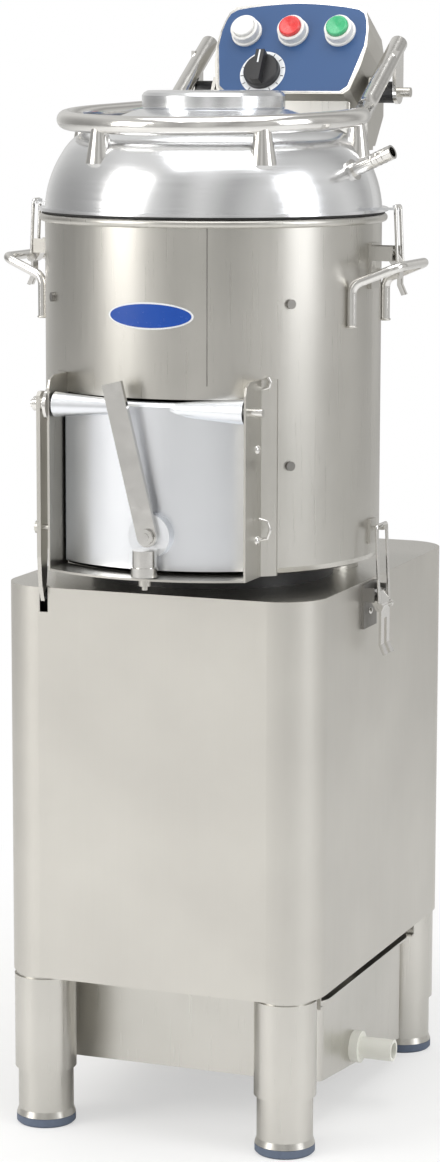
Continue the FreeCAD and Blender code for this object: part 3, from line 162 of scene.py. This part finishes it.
NODE_MATERIALS = {
    STEEL: ("drum_shell", "chute_frame", "peel_outlet", "tray_rails", "column", "top_deck",
            "interlock_bar", "leg_tubes", "clamp_hooks", "hinge_brackets", "waste_tray", "motor_plate",
            "lid_latch_bases"),
    CABINET: ("cabinet_shell", "rear_panel", "panel_housing"),
    BRIGHT: ("lid_lever", "water_inlet", "carry_handles", "drive_shaft", "disc_nut", "shaft_bearings",
             "lid_latch_lever_right", "lid_latch_lever_left", "lid_latch_bail_right",
             "lid_latch_bail_left", "base_clamp_lever_right", "base_clamp_lever_left",
             "base_clamp_bail_right", "base_clamp_bail_left", "door_shaft", "latch_barrel", "door_lever"),
    DOME: ("lid_dome", "lid_cap"),
    DOOR: ("chute_door",),
    CAST: ("driven_pulley", "motor_pulley"),
    # bearing_housing is black as painted shade: it darkens the gap under the drum, where only shadow falls.
    BLACK_AND_PAINTED_SHADE: ("bearing_housing", "cable_gland", "interlock_switch", "timer_body", "hinge_bushes",
            "timer_knob"),
    WHITE: ("button_housings", "white_button"),
    RED: ("red_button",),
    GREEN: ("green_button",),
    FOOT: ("foot_front_left", "foot_front_right", "foot_rear_left", "foot_rear_right"),
    RUBBER: ("drive_belt", "lid_gasket"),
    GRIT: ("abrasive_liner", "abrasive_disc"),
    MOTOR: ("motor",),
    # base_clamp_bases take the darker steel as painted shade for their shaded backs.
    DARK_AND_PAINTED_SHADE: ("liner_bolts", "base_clamp_bases"),
    DRAIN: ("drain_fitting",),
}
for material, names in NODE_MATERIALS.items():
    for name in names:
        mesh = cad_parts[name].data
        mesh.materials.clear()
        mesh.materials.append(material)


# Mesh helpers

def add_mesh(name, corners, faces, material, body, smooth=True, place=None):
    mesh = bpy.data.meshes.new(name)
    mesh.from_pydata([tuple(c) for c in corners], [], faces)
    mesh.validate()
    mesh.materials.append(material)
    for polygon in mesh.polygons:
        polygon.use_smooth = smooth
    thing = bpy.data.objects.new(name, mesh)
    bpy.context.scene.collection.objects.link(thing)
    if place is not None:
        mesh.transform(place)
    if smooth:
        with bpy.context.temp_override(object=thing, active_object=thing, selected_objects=[thing],
                                       selected_editable_objects=[thing]):
            bpy.ops.object.shade_smooth_by_angle(angle=math.radians(38))
    if body:
        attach(thing, body)
    return thing


def lathe(name, profile, material, body, place=None, steps=72):
    """A solid of revolution from closed points of radius and height."""
    corners, faces = [], []
    count = len(profile)
    for step in range(steps):
        angle = 2 * math.pi * step / steps
        for radius, height in profile:
            corners.append((radius * math.cos(angle), radius * math.sin(angle), height))
    for step in range(steps):
        near, far = step * count, (step + 1) % steps * count
        for index in range(count):
            after = (index + 1) % count
            faces.append((near + index, far + index, far + after, near + after))
    return add_mesh(name, corners, faces, material, body, place=place)


def sweep(name, path, radius, material, body, sides=20, closed=False):
    """A round wire along points."""
    points = [Vector(p) for p in path]
    count = len(points)
    corners, faces = [], []
    normal = None
    for index, point in enumerate(points):
        before = points[index - 1] if index or closed else point
        after = points[(index + 1) % count] if index < count - 1 or closed else point
        along = (after - before).normalized()
        if normal is None:
            normal = along.orthogonal().normalized()
        normal = (normal - along * normal.dot(along)).normalized()
        side = along.cross(normal)
        for step in range(sides):
            angle = 2 * math.pi * step / sides
            corners.append(point + (normal * math.cos(angle) + side * math.sin(angle)) * radius)
    for index in range(count if closed else count - 1):
        near, far = index * sides, (index + 1) % count * sides
        for step in range(sides):
            after = (step + 1) % sides
            faces.append((near + step, near + after, far + after, far + step))
    if not closed:
        faces.append(tuple(reversed(range(sides))))
        faces.append(tuple(range((count - 1) * sides, count * sides)))
    return add_mesh(name, corners, faces, material, body)


def prism(name, outline, thickness, material, body, place, chamfer=0.0):
    """A flat plate from an outline, its top edge chamfered."""
    middle = Vector((sum(u for u, v in outline) / len(outline), sum(v for u, v in outline) / len(outline)))

    def level(height, shrink):
        rows = []
        for u, v in outline:
            point = Vector((u, v))
            inward = (middle - point).normalized() * shrink
            rows.append((point.x + inward.x, point.y + inward.y, height))
        return rows

    count = len(outline)
    rows = level(0, 0) + level(thickness - chamfer, 0) + level(thickness, chamfer)
    faces = [tuple(reversed(range(count))), tuple(range(2 * count, 3 * count))]
    for lift in (0, count):
        for index in range(count):
            after = (index + 1) % count
            faces.append((lift + index, lift + after, lift + count + after, lift + count + index))
    return add_mesh(name, rows, faces, material, body, place=place)


def facing(point, normal, up=(0, 0, 1)):
    """A frame at a point whose z axis is the normal."""
    z = Vector(normal).normalized()
    x = Vector(up).cross(z)
    x = x.normalized() if x.length > 1e-6 else Vector((1, 0, 0))
    y = z.cross(x)
    turn = Matrix((x, y, z)).transposed().to_4x4()
    return Matrix.Translation(Vector(point)) @ turn


def button_head(radius, height):
    """The profile of a domed screw or rivet head."""
    arc = [(radius * math.cos(a), height * math.sin(a)) for a in [math.pi / 2 * i / 8 for i in range(9)]]
    return [(0.0, 0.0)] + arc[:-1] + [(0.0, height)]


def rivet(name, point, normal, radius, height, material, body):
    return lathe(name, button_head(radius, height), material, body, facing(point, normal), 32)


def loop(name, centre, normal, reach, thickness, material, body):
    """A bead round a joint, such as a weld."""
    place = facing(centre, normal)
    path = [place @ Vector((reach * math.cos(a), reach * math.sin(a), 0))
            for a in [2 * math.pi * i / 48 for i in range(48)]]
    return sweep(name, path, thickness, material, body, 12, True)


# Control panel: blue face, dial, pointer and button trims

def panel_frame(x, up, out):
    along = Vector((0, math.sin(PANEL_TILT), math.cos(PANEL_TILT)))
    normal = Vector((0, -math.cos(PANEL_TILT), math.sin(PANEL_TILT)))
    return facing(PANEL_FOOT + Vector((x, 0, 0)) + along * up + normal * out, normal, along)


def panel_outline(inset):
    right = [
        (0.066 - inset, 0.0 + inset), (0.073 - inset, 0.006 + inset), (0.0775 - inset, 0.030),
        (0.083 - inset, 0.056), (0.0825 - inset, 0.073), (0.080 - inset, 0.086),
        (0.0765 - inset, 0.097 - inset), (0.070 - inset, 0.1015 - inset), (0.052, 0.1045 - inset),
        (0.034, 0.1068 - inset), (0.017, 0.1083 - inset),
    ]
    return right + [(0.0, 0.109 - inset)] + [(-x, y) for x, y in reversed(right)]


prism("panel_rim", panel_outline(0.0012), 0.0004, BRIGHT, "stand", panel_frame(0, 0, 0), 0.0001)
prism("panel_blue_face", panel_outline(0.0030), 0.0006, BLUE, "stand", panel_frame(0, 0, 0), 0.0001)

DIAL = panel_frame(-0.025, 0.024, 0.0006)
lathe("dial_plate", [(0.0193, 0), (0.0245, 0), (0.0245, 0.0005), (0.0193, 0.0005)], PALE, "stand", DIAL, 96)
for step in range(13):
    angle = math.radians(-60 + 25 * step)
    turn = DIAL @ Matrix.Rotation(angle, 4, "Z")
    tick = [(0.0205, -0.0004), (0.0238, -0.0004), (0.0238, 0.0004), (0.0205, 0.0004)]
    prism(f"dial_tick_{step}", tick, 0.0007, BLACK_AND_PAINTED_SHADE, "stand", turn, 0.0001)
KNOB = panel_frame(-0.025, 0.024, 0)
KNOB_TOP = 0.0190
pointer = [(-0.0008, 0.002), (0.0008, 0.002), (0.0008, 0.0165), (-0.0008, 0.0165)]
prism("knob_pointer", pointer, 0.0004, PALE, "timer", KNOB @ Matrix.Translation((0, 0, KNOB_TOP)), 0.0001)
BUTTON_PITCH = 0.0515
BUTTON_ROW = 0.0715
trim_ring = [(0.0148, 0), (0.0166, 0), (0.0162, 0.0022), (0.0148, 0.0026)]
for label, slot in (("white", -1), ("red", 0), ("green", 1)):
    spot = panel_frame(slot * BUTTON_PITCH, BUTTON_ROW, 0.0004)
    lathe(f"{label}_trim", trim_ring, WHITE, "stand", spot, 72)


# Drum: badge and seam

def on_drum(angle, z, out=0.0):
    return Vector(((DRUM_R + out) * math.cos(angle), (DRUM_R + out) * math.sin(angle), z))


def drum_oval(name, half_width, half_height, low, high, material):
    """A plate bent to the drum, oval in outline."""
    rings, steps = 10, 72
    corners, faces = [], []
    for out in (low, high):
        for ring in range(rings + 1):
            for step in range(steps):
                angle = 2 * math.pi * step / steps
                u = half_width * ring / rings * math.cos(angle)
                v = half_height * ring / rings * math.sin(angle)
                corners.append(on_drum(-math.pi / 2 + u / DRUM_R, BADGE_Z + v, out))
    layer = (rings + 1) * steps
    for base, flip in ((0, True), (layer, False)):
        for ring in range(1, rings):
            for step in range(steps):
                after = (step + 1) % steps
                quad = (base + ring * steps + step, base + (ring + 1) * steps + step,
                        base + (ring + 1) * steps + after, base + ring * steps + after)
                faces.append(tuple(reversed(quad)) if flip else quad)
        middle = tuple(base + steps + step for step in range(steps))
        faces.append(tuple(reversed(middle)) if flip else middle)
    for step in range(steps):
        after = (step + 1) % steps
        edge = rings * steps
        faces.append((edge + step, edge + after, layer + edge + after, layer + edge + step))
    return add_mesh(name, corners, faces, material, "stand")


drum_oval("badge_rim", 0.0435, 0.0128, 0.0001, 0.0006, PALE)
drum_oval("badge_plate", 0.0415, 0.0112, 0.0003, 0.0009, BADGE)

SEAM = math.radians(-70.6)
seam_path = [on_drum(SEAM, z, -0.0002) for z in (0.745, 0.80, 0.85, 0.892)]
sweep("drum_seam", seam_path, 0.0007, DARK_AND_PAINTED_SHADE, "stand", 10)


# Small fittings

for side, s in (("right", 1), ("left", -1)):
    rivet(f"clamp_rivet_{side}", (s * 0.166, 0, 0.515), (s, 0, 0), 0.0035, 0.002, BRIGHT, "stand")
    for label, end in (("front", -1), ("rear", 1)):
        foot = (s * 0.1615, end * 0.050, 0.7965)
        loop(f"handle_weld_{side}_{label}", foot, (0, 0, 1), 0.0042, 0.0012, STEEL, "stand")
for index, x in enumerate((-0.070, 0.069)):
    rivet(f"rail_screw_{index}", (x, -0.0921, 0.149), (0, -1, 0), 0.0036, 0.0016, BRIGHT, "stand")
rivet("chute_bolt_high", (0.1010, -0.144, 0.686), (1, 0, 0), 0.0045, 0.003, BRIGHT, "stand")
rivet("chute_bolt_low", (0.1010, -0.144, 0.600), (1, 0, 0), 0.0045, 0.003, BRIGHT, "stand")
CHUTE_WIRE = 0.0016
hook_path = [(x, -0.131, z) for x, z in ((0.1015, 0.742), (0.108, 0.744), (0.1095, 0.749), (0.107, 0.753))]
loop_path = [(x, -0.140, z) for x, z in (
    (0.1015, 0.620), (0.110, 0.618), (0.113, 0.610), (0.110, 0.602), (0.1015, 0.600))]
sweep("chute_hook", hook_path, CHUTE_WIRE, BRIGHT, "stand", 12)
sweep("chute_loop", loop_path, CHUTE_WIRE, BRIGHT, "stand", 12)
screw_places = [(x, z) for x in (-0.108, 0.108) for z in (0.20, 0.35, 0.50)]
for index, (x, z) in enumerate(screw_places):
    rivet(f"rear_screw_{index}", (x, 0.2715, z), (0, 1, 0), 0.0045, 0.0022, BRIGHT, "stand")


# Floor, light and camera

def area_light(name, place, target, size, power, color=(1, 1, 1)):
    data = bpy.data.lights.new(name, "AREA")
    data.shape = "RECTANGLE"
    data.size, data.size_y = size
    data.energy = power
    data.color = color
    lamp = bpy.data.objects.new(name, data)
    bpy.context.scene.collection.objects.link(lamp)
    lamp.location = place
    lamp.rotation_euler = (Vector(target) - Vector(place)).to_track_quat("-Z", "Y").to_euler()
    return lamp


def fade_to_white(material):
    """Lets the camera see the floor turn white away from the machine, and keeps the shadow near it."""
    tree = material.node_tree
    far = tree.nodes.new("ShaderNodeVectorMath")
    far.operation = "LENGTH"
    tree.links.new(coordinates(tree, EVEN), far.inputs[0])
    fade = tree.nodes.new("ShaderNodeMapRange")
    fade.interpolation_type = "SMOOTHSTEP"
    fade.inputs["From Min"].default_value = 0.45
    fade.inputs["From Max"].default_value = 1.1
    fade.inputs["To Min"].default_value = 0.5
    tree.links.new(far.outputs["Value"], fade.inputs["Value"])
    seen = tree.nodes.new("ShaderNodeLightPath")
    share = tree.nodes.new("ShaderNodeMath")
    share.operation = "MULTIPLY"
    tree.links.new(fade.outputs["Result"], share.inputs[0])
    tree.links.new(seen.outputs["Is Camera Ray"], share.inputs[1])
    white = tree.nodes.new("ShaderNodeEmission")
    white.inputs["Color"].default_value = (1, 1, 1, 1)
    white.inputs["Strength"].default_value = 1.0
    blend = tree.nodes.new("ShaderNodeMixShader")
    tree.links.new(share.outputs["Value"], blend.inputs["Fac"])
    tree.links.new(tree.nodes["Principled BSDF"].outputs["BSDF"], blend.inputs[1])
    tree.links.new(white.outputs["Emission"], blend.inputs[2])
    tree.links.new(blend.outputs["Shader"], tree.nodes["Material Output"].inputs["Surface"])


FLOOR_REACH = 6
floor_material = finish_material(
    "floor_paint", (0.90, 0.90, 0.90), (0.93, 0.93, 0.93), (0.55, 0.65), EVEN, 60.0, 0.0, 0.02, 0.0001)
floor_corners = [(x * FLOOR_REACH, y * FLOOR_REACH, 0) for x, y in ((-1, -1), (1, -1), (1, 1), (-1, 1))]
floor = add_mesh("floor", floor_corners, [(0, 1, 2, 3)], floor_material, None, False)
fade_to_white(floor_material)

area_light("softbox_left", (-2.2, -2.4, 1.9), (0, 0, 0.6), (1.6, 2.4), 50, (1, 0.98, 0.95))
area_light("softbox_right", (2.9, -0.4, 1.7), (0, 0, 0.6), (1.2, 2.2), 24, (0.97, 0.98, 1))
area_light("softbox_top", (0.2, -0.4, 3.0), (0, 0, 0.8), (2.2, 2.2), 40)

# The room's brightness from its -X side to its +X side, as seen in the steel
ROOM_BANDS = (
    (0.0, 0.42), (0.18, 0.95), (0.34, 0.80), (0.47, 0.55),
    (0.60, 0.95), (0.76, 0.50), (0.90, 0.90), (1.0, 0.60),
)


def studio_world():
    """Soft upright bands of light for the metal, and plain white where the camera looks past the floor."""
    world = bpy.data.worlds.new("studio")
    bpy.context.scene.world = world
    world.use_nodes = True
    tree = world.node_tree
    tree.nodes.clear()
    output = tree.nodes.new("ShaderNodeOutputWorld")
    mix = tree.nodes.new("ShaderNodeMixShader")
    room = tree.nodes.new("ShaderNodeBackground")
    paper = tree.nodes.new("ShaderNodeBackground")
    rays = tree.nodes.new("ShaderNodeLightPath")
    coord = tree.nodes.new("ShaderNodeTexCoord")
    split = tree.nodes.new("ShaderNodeSeparateXYZ")
    bands = tree.nodes.new("ShaderNodeValToRGB")
    span = tree.nodes.new("ShaderNodeMapRange")
    paper.inputs["Color"].default_value = (1, 1, 1, 1)
    paper.inputs["Strength"].default_value = 1.0
    room.inputs["Strength"].default_value = 0.8
    span.inputs["From Min"].default_value = -1.0
    span.inputs["From Max"].default_value = 1.0
    elements = bands.color_ramp.elements
    while len(elements) < len(ROOM_BANDS):
        elements.new(0.5)
    for element, (position, level) in zip(elements, ROOM_BANDS):
        element.position = position
        element.color = (level, level * 0.99, level * 0.965, 1)
    tree.links.new(coord.outputs["Generated"], split.inputs["Vector"])
    tree.links.new(split.outputs["X"], span.inputs["Value"])
    tree.links.new(span.outputs["Result"], bands.inputs["Fac"])
    tree.links.new(bands.outputs["Color"], room.inputs["Color"])
    tree.links.new(rays.outputs["Is Camera Ray"], mix.inputs["Fac"])
    tree.links.new(room.outputs["Background"], mix.inputs[1])
    tree.links.new(paper.outputs["Background"], mix.inputs[2])
    tree.links.new(mix.outputs["Shader"], output.inputs["Surface"])


# The camera's place and its right, up and back directions, fitted to the photo
CAMERA_PLACE = (1.16602, -2.96233, 1.04313)
CAMERA_RIGHT = Vector((0.93121, 0.36448, 0.00195))
CAMERA_UP = Vector((-0.05935, 0.14634, 0.98745))
CAMERA_BACK = Vector((0.35963, -0.91964, 0.15790))


def photo_camera():
    data = bpy.data.cameras.new("camera")
    data.sensor_width = 36.0
    data.lens = 100.12
    data.clip_end = 60
    camera = bpy.data.objects.new("camera", data)
    bpy.context.scene.collection.objects.link(camera)
    turn = Matrix((CAMERA_RIGHT, CAMERA_UP, CAMERA_BACK)).transposed().to_4x4()
    camera.matrix_world = Matrix.Translation(CAMERA_PLACE) @ turn
    bpy.context.scene.camera = camera


studio_world()
bpy.context.scene.view_settings.view_transform = "Standard"
photo_camera()
